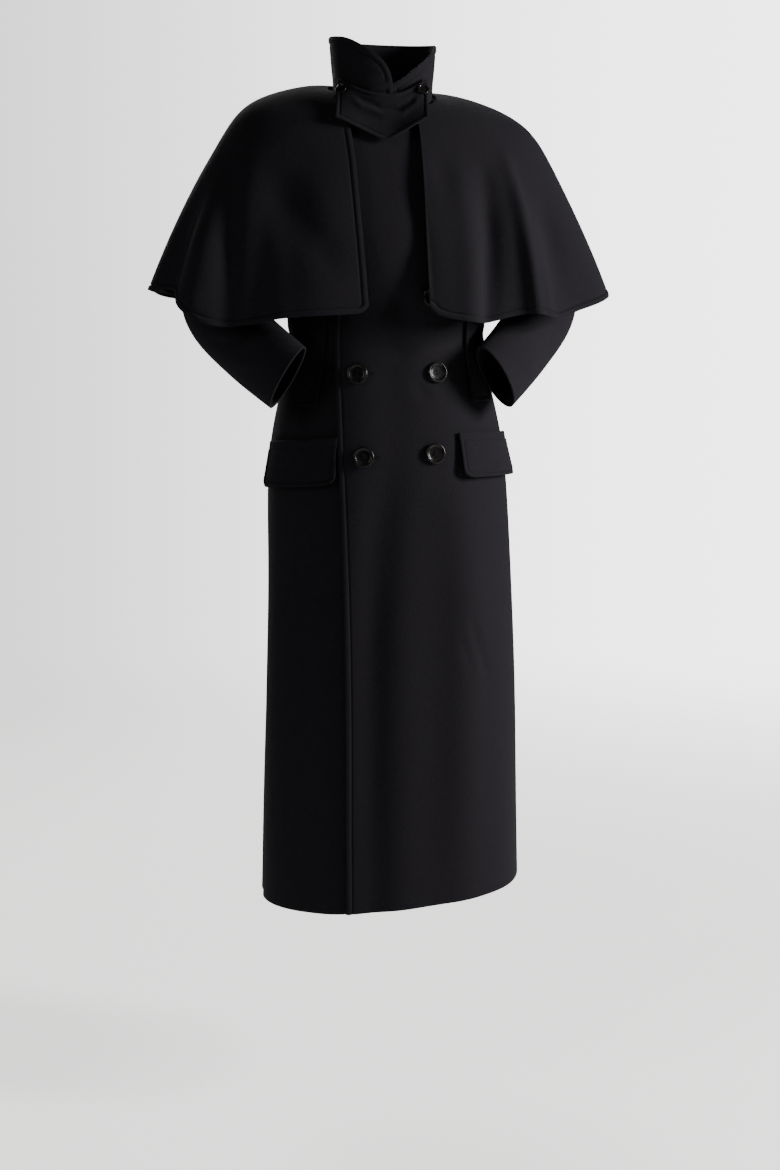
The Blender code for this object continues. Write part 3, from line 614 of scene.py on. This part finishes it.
def swell(distances, inset):
    """The lift of a swelled edge whose stitches run at that inset."""
    band = np.clip(1 - distances / inset, 0, 1)
    rise = BAND_RISE * np.sin(math.pi * band) ** BAND_FULLNESS
    return rise - GROOVE_DEPTH * np.exp(-(((distances - inset) / GROOVE_HALF) ** 2))


# %% [markdown]
# Now the cloth itself. The grid is subdivided, the creases and swelled edges move its points along
# their normals, and Solidify gives the skin the thickness of the cloth, inwards. A small Bevel rounds
# the cut edge, as felted cloth has no crisp arris.

# %% Cloth pieces
CLOTH = 0.0026
TWO_PLY = 0.0040
EDGE_ROUND = 0.0009
EDGE_SEGMENTS = 2
EDGE_ANGLE = math.radians(55)
TUCK_REACH = 0.006
Cloth = namedtuple(
    "Cloth", "node wall levels creases inset sides loops rounded flat area held rests_on tuck",
    defaults=((), (), (), None, None, "hung", (), 0.0),
)


def subdivided(skin, levels):
    """A mesh of the skin after subdivision."""
    mesh = bpy.data.meshes.new("cloth_grid")
    skin.to_mesh(mesh)
    holder = bpy.data.objects.new("cloth_grid", mesh)
    bpy.context.scene.collection.objects.link(holder)
    smooth = holder.modifiers.new("smooth", "SUBSURF")
    smooth.levels = levels
    smooth.render_levels = levels
    smooth.boundary_smooth = "ALL"
    bpy.context.view_layer.update()
    made = bpy.data.meshes.new_from_object(holder.evaluated_get(bpy.context.evaluated_depsgraph_get()))
    bpy.data.objects.remove(holder)
    bpy.data.meshes.remove(mesh)
    return made


def vertex_arrays(mesh):
    """The vertices' places and normals."""
    places = np.empty(len(mesh.vertices) * 3)
    mesh.vertices.foreach_get("co", places)
    normals = np.empty(len(mesh.vertices) * 3)
    mesh.vertex_normals.foreach_get("vector", normals)
    return places.reshape(-1, 3), normals.reshape(-1, 3)


def surface_tree(mesh):
    faces = [list(face.vertices) for face in mesh.polygons]
    return BVHTree.FromPolygons([vert.co for vert in mesh.vertices], faces)


def side_chains(mesh, ways):
    """The named sides of a subdivided grid, as points."""
    fine = bmesh.new()
    fine.from_mesh(mesh)
    chains = [[vert.co.copy() for vert in side_towards(fine, way)] for way in ways]
    fine.free()
    return chains


Sewn = namedtuple("Sewn", "chains inset plain_tree tree")
sewn = {}


def shaped_skin(cloth):
    """A panel's skin, creased and edged. What its stitches need is kept in sewn."""
    skin = outer_skin(cloth.node, cloth.wall)
    skin.verts.index_update()
    skin.edges.index_update()
    odd = pair_triangles(skin)
    for way, distances in cloth.loops:
        for distance in sorted(distances, reverse=True):
            cut_loop(skin, way, distance)
    sharpen_corners(skin, cloth.rounded)
    mesh = subdivided(skin, cloth.levels)
    skin.free()
    places, normals = vertex_arrays(mesh)
    rise = np.zeros(len(places))
    for crease in cloth.creases:
        rise += crease_rise(crease, places, normals)
    chains = side_chains(mesh, cloth.sides)
    if cloth.tuck:
        from_top = border_distances(places, side_chains(mesh, ("up",)))
        places[:, 2] += cloth.tuck * np.exp(-((from_top / TUCK_REACH) ** 2))
    plain_tree = surface_tree(mesh)
    if chains:
        rise += swell(border_distances(places, chains), cloth.inset)
    mesh.vertices.foreach_set("co", (places + normals * rise[:, None]).ravel())
    mesh.update()
    sewn[cloth.node] = Sewn(chains, cloth.inset, plain_tree, surface_tree(mesh))
    mesh.shade_smooth()
    area = sum(face.area for face in mesh.polygons)
    print(f"{cloth.node}: {len(mesh.polygons)} faces, {odd} odd in the grid, {area:.4f} square metres")
    return mesh


def make_cloth(cloth):
    """One panel: a thin shell on its solid's form."""
    mesh = shaped_skin(cloth)
    mesh.materials.clear()
    mesh.materials.append(black_wool)
    piece = bpy.data.objects.new(f"cloth_{cloth.node}", mesh)
    mesh.name = piece.name
    bpy.context.scene.collection.objects.link(piece)
    shell = piece.modifiers.new("cloth_thickness", "SOLIDIFY")
    shell.thickness = cloth.wall
    shell.offset = -1.0
    rounded = piece.modifiers.new("edge_round", "BEVEL")
    rounded.width = EDGE_ROUND
    rounded.segments = EDGE_SEGMENTS
    rounded.limit_method = "ANGLE"
    rounded.angle_limit = EDGE_ANGLE
    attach(piece, "root")
    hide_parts(cloth.node)
    return piece


# %% [markdown]
# Each row of the table is a pattern piece: its wall, how fine its grid is, its creases, its stitched
# sides, and the size that it was cut to. The flat size is the smallest rectangle that the piece is cut
# from, and the area is what is left of it after cutting.

# %% Pattern pieces
EDGE_INSET = 0.009
POCKET_INSET = 0.006
FLAP_TUCK = 0.0009        # how far a flap's top goes up against its jet
EDGE_LOOPS = (0.004, 0.008, 0.010, 0.014)
ALL_SIDES = ("left", "right", "up", "down")
FLAP_SIDES = ("left", "right", "down")
FLAP_CORNERS = (("left", "down"), ("right", "down"))

CLOTHS = [
    Cloth("back", CLOTH, 2, BODY_CREASES, EDGE_INSET, flat=(0.62, 1.29), area=0.66),
    Cloth("front_left", CLOTH, 3, BODY_CREASES, EDGE_INSET, ("left",), (("left", EDGE_LOOPS),),
          flat=(0.39, 1.27), area=0.43, rests_on=("front_right",)),
    Cloth("front_right", CLOTH, 3, UNDER_CREASES, EDGE_INSET, flat=(0.39, 1.27), area=0.44),
    Cloth("sleeve_left", CLOTH, 3, SLEEVE_CREASES, EDGE_INSET, flat=(0.44, 0.53), area=0.16),
    Cloth("sleeve_right", CLOTH, 3, SLEEVE_CREASES, EDGE_INSET, flat=(0.44, 0.53), area=0.16),
    Cloth("cape_front_left", CLOTH, 3, CAPE_CREASES, EDGE_INSET, ("left", "down"),
          (("down", EDGE_LOOPS),), (("left", "down"),), (0.38, 0.42), 0.105, "draped", ("front_left",)),
    Cloth("cape_front_right", CLOTH, 3, CAPE_CREASES, EDGE_INSET, ("right", "down"),
          (("down", EDGE_LOOPS),), (("right", "down"),), (0.38, 0.42), 0.108, "draped", ("front_right",)),
    Cloth("cape_back", CLOTH, 3, CAPE_CREASES, EDGE_INSET, ("down",), (("down", EDGE_LOOPS),),
          (), (0.82, 0.42), 0.268, "draped", ("back",)),
    Cloth("collar", TWO_PLY, 3, COLLAR_CREASES, EDGE_INSET, ("up",), flat=(0.47, 0.12), area=0.038,
          rests_on=("back",)),
    Cloth("throat_tab", TWO_PLY, 3, TAB_CREASES, POCKET_INSET, ALL_SIDES, flat=(0.150, 0.090),
          area=0.0106, rests_on=("collar",)),
]
for hand, welt_area, flap_area in (("left", 0.0076, 0.0086), ("right", 0.0080, 0.0088)):
    front = (f"front_{hand}",)
    CLOTHS += [
        Cloth(f"welt_{hand}", TWO_PLY, 3, BODY_CREASES, POCKET_INSET, ALL_SIDES,
              flat=(0.052, 0.160), area=welt_area, held="laid", rests_on=front),
        Cloth(f"pocket_jet_{hand}", TWO_PLY, 3, BODY_CREASES, POCKET_INSET,
              flat=(0.154, 0.0135), area=0.0020, held="laid", rests_on=front),
        Cloth(f"pocket_flap_{hand}", TWO_PLY, 3, BODY_CREASES, POCKET_INSET, FLAP_SIDES, (),
              FLAP_CORNERS, (0.162, 0.057), flap_area, "laid", front, FLAP_TUCK),
    ]
cloth_pieces = {cloth.node: make_cloth(cloth) for cloth in CLOTHS}

# %% [markdown]
# The stitches of a swelled edge are short runs of thread, sunk in the groove. Each line is found on
# the plain cloth by stepping in from the border, then laid on the creased cloth. The stitches are many
# and small, so each is a ball of twenty faces drawn out into a grain.

# %% Stitches
STITCH_PITCH = 0.0042
STITCH_SIZE = (0.0015, 0.00045, 0.0004)     # half length, half width and half height
GRAIN_FACES = 20
STEP_MISS = 0.5           # share of the inset by which a step off the cloth may miss it


def stitch_path(chain, sewing):
    """Places and normals on the cloth, at an inset from a border chain."""
    points = resampled(chain, STITCH_PITCH)
    ways = np.gradient(points, axis=0)
    path = []
    for point, way in zip(points, ways):
        place = Vector(point)
        normal = sewing.plain_tree.find_nearest(place)[1]
        inward = normal.cross(Vector(way)).normalized() * sewing.inset
        steps = [sewing.plain_tree.find_nearest(place + inward * sign) for sign in (1, -1)]
        step = min(steps, key=lambda found: found[3])
        if step[3] < STEP_MISS * sewing.inset:
            path.append(sewing.tree.find_nearest(step[0])[:2])
    return path


def add_grain(mesh_data, place, way, normal, size):
    """One stitch: a ball drawn out along its way."""
    side = normal.cross(way).normalized()
    basis = Matrix((way, side, way.cross(side))).transposed().to_4x4()
    matrix = Matrix.Translation(place) @ basis @ Matrix.Diagonal((*size, 1))
    bmesh.ops.create_icosphere(mesh_data, subdivisions=1, radius=1.0, matrix=matrix)


def add_piece(name, mesh, place, finish, node=None):
    """A copy of a mesh, moved to its place in the mesh itself."""
    made_mesh = mesh.copy()
    made_mesh.transform(place)
    made_mesh.materials.clear()
    made_mesh.materials.append(finish)
    piece = bpy.data.objects.new(name, made_mesh)
    made_mesh.name = name
    bpy.context.scene.collection.objects.link(piece)
    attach(piece, "root")
    if node is not None:
        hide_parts(node)
    return piece


def mesh_of(name, mesh_data):
    """A smooth mesh from a bmesh, which is used up."""
    mesh = bpy.data.meshes.new(name)
    mesh_data.to_mesh(mesh)
    mesh_data.free()
    mesh.shade_smooth()
    return mesh


def add_stitches(node):
    thread = bmesh.new()
    for chain in sewn[node].chains:
        path = stitch_path(chain, sewn[node])
        for (place, normal), (onward, _) in zip(path, path[1:]):
            way = (onward - place).normalized()
            add_grain(thread, (place + onward) / 2, way, normal, STITCH_SIZE)
    faces = len(thread.faces)
    mesh = mesh_of(f"stitches_{node}", thread)
    print(f"stitches of {node}: {faces // GRAIN_FACES}")
    return add_piece(f"stitches_{node}", mesh, Matrix.Identity(4), black_thread)


stitches = {cloth.node: add_stitches(cloth.node) for cloth in CLOTHS if cloth.sides}

# %% [markdown]
# Every panel has its cut size in the table above, and its stitches ride on it; here the panels are only
# counted.

# %% Sheets
print("sheets:", len(CLOTHS))

# %% [markdown]
# A front button is turned like a small dish: a round rim, a sunk face and a flat back, drilled with
# four holes. Its profile is spun round, and the holes are cut with cylinders. Two bars of thread cross
# the face, each a few strands that dip into the holes. One button is made for a radius of 1 and scaled
# to each solid's own size, place and facing.

# %% A button
BUTTON_SIDES = 72
BUTTON_MERGE = 1e-4
BUTTON_ARRIS = math.radians(40)       # a sharper edge stays crisp
HOLE = 0.072
HOLE_SIDES = 20
HOLE_PLACE = 0.145                    # of each hole, across and up from the middle
DRILL_LENGTH = 2.0
DISHED_FACE = [
    (0.00, 0.150), (0.35, 0.151), (0.58, 0.160), (0.665, 0.178), (0.71, 0.212), (0.755, 0.250),
    (0.80, 0.272), (0.85, 0.280), (0.90, 0.272), (0.945, 0.246), (0.975, 0.205), (0.99, 0.160),
    (0.985, 0.110), (0.96, 0.062), (0.91, 0.024), (0.84, 0.004), (0.78, 0.000), (0.00, 0.000),
]


def link_mesh(name, mesh_data):
    """An object of a bmesh, which is used up."""
    made = bpy.data.objects.new(name, mesh_of(name, mesh_data))
    bpy.context.scene.collection.objects.link(made)
    return made


def button_blank():
    """The profile, spun round."""
    disc = bmesh.new()
    line = [disc.verts.new((radius, 0, height)) for radius, height in DISHED_FACE]
    edges = [disc.edges.new(pair) for pair in zip(line, line[1:])]
    bmesh.ops.spin(
        disc, geom=line + edges, cent=(0, 0, 0), axis=(0, 0, 1), angle=2 * math.pi,
        steps=BUTTON_SIDES, use_merge=True,
    )
    bmesh.ops.remove_doubles(disc, verts=disc.verts[:], dist=BUTTON_MERGE)
    bmesh.ops.recalc_face_normals(disc, faces=disc.faces[:])
    return link_mesh("button_blank", disc)


def button_drills():
    """Four cylinders, one for each hole."""
    drill = bmesh.new()
    for x, y in ((1, 1), (-1, 1), (-1, -1), (1, -1)):
        place = Vector((x, y, 0)) * HOLE_PLACE
        bmesh.ops.create_cone(
            drill, cap_ends=True, segments=HOLE_SIDES, radius1=HOLE, radius2=HOLE, depth=DRILL_LENGTH,
            matrix=Matrix.Translation(place),
        )
    return link_mesh("button_drills", drill)


def turned_button():
    """A button of radius 1, face up, as a mesh."""
    blank = button_blank()
    drills = button_drills()
    cut = blank.modifiers.new("holes", "BOOLEAN")
    cut.operation = "DIFFERENCE"
    cut.object = drills
    bpy.context.view_layer.update()
    mesh = bpy.data.meshes.new_from_object(blank.evaluated_get(bpy.context.evaluated_depsgraph_get()))
    for scrap in (blank, drills):
        bpy.data.objects.remove(scrap)
    mesh.shade_smooth()
    mesh.set_sharp_from_angle(angle=BUTTON_ARRIS)
    return mesh


button_mesh = turned_button()
print("button:", len(button_mesh.polygons), "faces")

# %% Thread of a button
STRANDS = 4
STRAND = 0.020
STRAND_PITCH = 1.5 * STRAND
STRAND_SIDES = 6
STRAND_STEPS = 8
STRAND_FOOT = 0.10                    # height at which a strand leaves its hole
STRAND_RISES = (0.080, 0.092)         # strands lie lower and higher by turns
ARCH_FULLNESS = 0.6
SHANK = 0.17
SHANK_SIDES = 16
SHANK_LENGTH = 0.20


def add_strand(thread, start, end, rise):
    """One strand from hole to hole: a thin tube that arches over the face."""
    way = (end - start).normalized()
    side = Vector((-way.y, way.x, 0))
    across = Matrix.Rotation(math.pi / 2, 4, side)
    rings = []
    for step in range(STRAND_STEPS + 1):
        share = step / STRAND_STEPS
        arch = rise * math.sin(math.pi * share) ** ARCH_FULLNESS
        centre = start.lerp(end, share) + Vector((0, 0, arch))
        made = bmesh.ops.create_circle(
            thread, segments=STRAND_SIDES, radius=STRAND, matrix=Matrix.Translation(centre) @ across
        )
        rings.append(made["verts"])
    for first, second in zip(rings, rings[1:]):
        loop = {edge for vert in first + second for edge in vert.link_edges}
        flat = [edge for edge in loop if {*edge.verts} <= {*first} or {*edge.verts} <= {*second}]
        bmesh.ops.bridge_loops(thread, edges=flat)


def button_thread():
    """The thread of a button of radius 1: two bars over the face, and a short shank behind it."""
    thread = bmesh.new()
    for bar in (-1, 1):
        for index in range(STRANDS):
            y = bar * HOLE_PLACE + (index - (STRANDS - 1) / 2) * STRAND_PITCH
            start = Vector((-HOLE_PLACE, y, STRAND_FOOT))
            end = Vector((HOLE_PLACE, y, STRAND_FOOT))
            add_strand(thread, start, end, STRAND_RISES[index % 2])
    bmesh.ops.create_cone(
        thread, cap_ends=True, segments=SHANK_SIDES, radius1=SHANK, radius2=SHANK, depth=SHANK_LENGTH,
        matrix=Matrix.Translation((0, 0, -SHANK_LENGTH / 2)),
    )
    bmesh.ops.recalc_face_normals(thread, faces=thread.faces[:])
    return mesh_of("button_thread", thread)


thread_mesh = button_thread()
print("thread:", len(thread_mesh.polygons), "faces")

# %% Buttons in place
BUTTON_TURNS = {
    "front_button_left_1": 6, "front_button_left_2": 12, "front_button_left_3": -20,
    "front_button_right_1": 0, "front_button_right_2": -8, "front_button_right_3": 25,
    "tab_button_left": 15, "tab_button_right": -10,
}


def button_place(node, turn):
    """The matrix that takes a button of radius 1 to a solid's place, from the solid's own points."""
    points = np.array([vert.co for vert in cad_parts[node].data.vertices])
    points = np.unique(points.round(6), axis=0)
    middle = points.mean(axis=0)
    normal = np.linalg.svd(points - middle, full_matrices=False)[2][2]
    normal *= -np.sign(normal[1])
    heights = (points - middle) @ normal
    radius = np.linalg.norm(np.cross(points - middle, normal), axis=1).max()
    back = Vector(middle + normal * heights.min())
    facing = Vector(normal)
    across = UP.cross(facing).normalized()
    basis = Matrix((across, facing.cross(across), facing)).transposed().to_4x4()
    spin = Matrix.Rotation(math.radians(turn), 4, "Z")
    return Matrix.Translation(back) @ basis @ spin @ Matrix.Scale(radius, 4)


button_places = {node: button_place(node, turn) for node, turn in BUTTON_TURNS.items()}
for node, place in button_places.items():
    add_piece(f"disc_{node}", button_mesh, place, polished_horn, node)
    add_piece(f"thread_{node}", thread_mesh, place, black_thread)
print("buttons:", len(BUTTON_TURNS))

# %% [markdown]
# The buttons on the wearer's right come up through worked buttonholes in the outer front. Most of a
# buttonhole is under its button. The end that shows is a slit with a close row of stitches on each
# side, and a fan of them round the eye.

# %% Buttonholes
HOLE_ROWS = (1, 2, 3)
HOLE_START = 0.0135                   # from the button's middle to the first bar
HOLE_REACH = 0.0225                   # and to the eye
BAR_PITCH = 0.0007
BAR_SIZE = (0.0012, 0.0003, 0.00035)  # half length, half width and half height
BAR_OFFSET = 0.0013
EYE_BARS = 9
EYE_SPAN = math.radians(160)
EYE_RADIUS = 1.2 * BAR_OFFSET
PROBE = 0.1                           # how far in front the search for the cloth starts


def buttonhole_bars():
    """Each bar's place across and up from the button's middle, and its turn."""
    bars = []
    for step in range(round((HOLE_REACH - HOLE_START) / BAR_PITCH) + 1):
        x = HOLE_START + step * BAR_PITCH
        bars += [(x, BAR_OFFSET, math.pi / 2), (x, -BAR_OFFSET, math.pi / 2)]
    for step in range(EYE_BARS):
        turn = EYE_SPAN * (step / (EYE_BARS - 1) - 0.5)
        bars.append((HOLE_REACH + EYE_RADIUS * math.cos(turn), EYE_RADIUS * math.sin(turn), turn))
    return bars


def add_buttonhole(node, tree):
    """The bars of one buttonhole, each laid on the cloth."""
    button = button_places[node].translation
    thread = bmesh.new()
    for x, z, turn in buttonhole_bars():
        start = Vector((button.x + x, button.y - PROBE, button.z + z))
        place, normal = tree.ray_cast(start, Vector((0, 1, 0)))[:2]
        level = UP.cross(normal).normalized()
        way = level * math.cos(turn) + UP * math.sin(turn)
        way = (way - normal * way.dot(normal)).normalized()
        add_grain(thread, place, way, normal, BAR_SIZE)
    mesh = mesh_of(f"buttonhole_{node}", thread)
    return add_piece(f"buttonhole_{node}", mesh, Matrix.Identity(4), black_thread)


for row in HOLE_ROWS:
    add_buttonhole(f"front_button_right_{row}", sewn["front_left"].tree)
print("buttonholes:", len(HOLE_ROWS), "bars in each:", len(buttonhole_bars()))

# %% [markdown]
# The studio is a pale floor that fades into the pale backdrop. A tall key light stands far round on
# the coat's left, so that the folds show, and weaker ones on its right and in front keep the form of
# the dark side. One more lights the back. The camera sees a bright backdrop, while the cloth and the
# buttons are lit by a dimmer room.

# %% Floor
FLOOR = -1.56
FLOOR_RADIUS = 9.0
FLOOR_SIDES = 96
FADE = (1.6, 5.0)         # distances from the coat's neck where the fade starts and ends
FLOOR_COLOUR = (0.80, 0.795, 0.78, 1)
FLOOR_ROUGHNESS = 0.7
FLOOR_GLOW = 1.35


def floor_material():
    """A pale matt floor that clears with distance. It glows for the camera and lights nothing."""
    made, tree, shader = new_finish("pale_floor")
    link = tree.links.new
    set_inputs(shader, Base_Color=FLOOR_COLOUR, Roughness=FLOOR_ROUGHNESS, Emission_Color=FLOOR_COLOUR)
    rays = tree.nodes.new("ShaderNodeLightPath")
    glow = add_math(tree, "MULTIPLY", FLOOR_GLOW)
    link(rays.outputs["Is Camera Ray"], glow.inputs[0])
    link(glow.outputs["Value"], shader.inputs["Emission Strength"])
    place = tree.nodes.new("ShaderNodeTexCoord")
    distance = tree.nodes.new("ShaderNodeVectorMath")
    distance.operation = "LENGTH"
    link(place.outputs["Object"], distance.inputs[0])
    fade = add_node(tree, "ShaderNodeMapRange", From_Min=FADE[0], From_Max=FADE[1])
    fade.interpolation_type = "SMOOTHSTEP"
    link(distance.outputs["Value"], fade.inputs["Value"])
    clear = tree.nodes.new("ShaderNodeBsdfTransparent")
    mix = tree.nodes.new("ShaderNodeMixShader")
    link(fade.outputs["Result"], mix.inputs["Fac"])
    link(shader.outputs["BSDF"], mix.inputs[1])
    link(clear.outputs["BSDF"], mix.inputs[2])
    link(mix.outputs["Shader"], tree.nodes["Material Output"].inputs["Surface"])
    return made


disc = bmesh.new()
bmesh.ops.create_circle(disc, cap_ends=True, segments=FLOOR_SIDES, radius=FLOOR_RADIUS)
bmesh.ops.translate(disc, verts=disc.verts[:], vec=(0, 0, FLOOR))
floor = link_mesh("studio_floor", disc)
floor.data.materials.append(floor_material())
print("floor at", FLOOR)

# %% Backdrop
BACKDROP_DARK = (1.50, 1.50, 1.48, 1)
BACKDROP_BRIGHT = (4.00, 4.02, 4.10, 1)
BACKDROP_SWEEP = (-0.10, 0.35)        # where it is dark, and where it is bright, across the view
ROOM = (0.018, 0.018, 0.020, 1)


def studio_world():
    """A backdrop with a painted fall of light, brighter on the coat's left, and a dimmer room for
    everything else.
    """
    world = bpy.data.worlds.new("studio_backdrop")
    world.use_nodes = True
    tree = world.node_tree
    link = tree.links.new
    place = tree.nodes.new("ShaderNodeTexCoord")
    parts = tree.nodes.new("ShaderNodeSeparateXYZ")
    link(place.outputs["Generated"], parts.inputs["Vector"])
    # painted light: the backdrop's colour grows brighter across the view towards the key light's side
    sweep = add_node(tree, "ShaderNodeMapRange", From_Min=BACKDROP_SWEEP[0], From_Max=BACKDROP_SWEEP[1])
    sweep.interpolation_type = "SMOOTHSTEP"
    link(parts.outputs["X"], sweep.inputs["Value"])
    backdrop = add_colour_mix(tree)
    set_inputs(backdrop, A=BACKDROP_DARK, B=BACKDROP_BRIGHT)
    link(sweep.outputs["Result"], backdrop.inputs["Factor"])
    rays = tree.nodes.new("ShaderNodeLightPath")
    seen = add_colour_mix(tree)
    set_inputs(seen, A=ROOM)
    link(backdrop.outputs["Result"], seen.inputs["B"])
    link(rays.outputs["Is Camera Ray"], seen.inputs["Factor"])
    link(seen.outputs["Result"], tree.nodes["Background"].inputs["Color"])
    return world


bpy.context.scene.world = studio_world()
print("backdrop:", bpy.context.scene.world.name)

# %% Light
Lamp = namedtuple("Lamp", "name place size watts")
LAMPS = [
    Lamp("key_light", (2.7, -1.2, 0.4), (0.6, 1.2), 170.0),
    Lamp("fill_light", (-2.5, -1.5, 0.5), (0.4, 1.6), 19.0),
    Lamp("front_light", (0.2, -3.2, 0.9), (1.0, 1.2), 5.0),
    Lamp("back_light", (-0.6, 3.0, 1.2), (1.6, 2.0), 90.0),
]
LIT_PLACE = Vector((0.0, 0.0, -0.5))  # every lamp points at the coat's middle


def add_lamp(lamp):
    data = bpy.data.lights.new(lamp.name, "AREA")
    data.shape = "RECTANGLE"
    data.size, data.size_y = lamp.size
    data.energy = lamp.watts
    made = bpy.data.objects.new(lamp.name, data)
    made.location = lamp.place
    made.rotation_euler = (LIT_PLACE - Vector(lamp.place)).to_track_quat("-Z", "Y").to_euler()
    bpy.context.scene.collection.objects.link(made)


for lamp in LAMPS:
    add_lamp(lamp)
print("lights:", len(LAMPS))
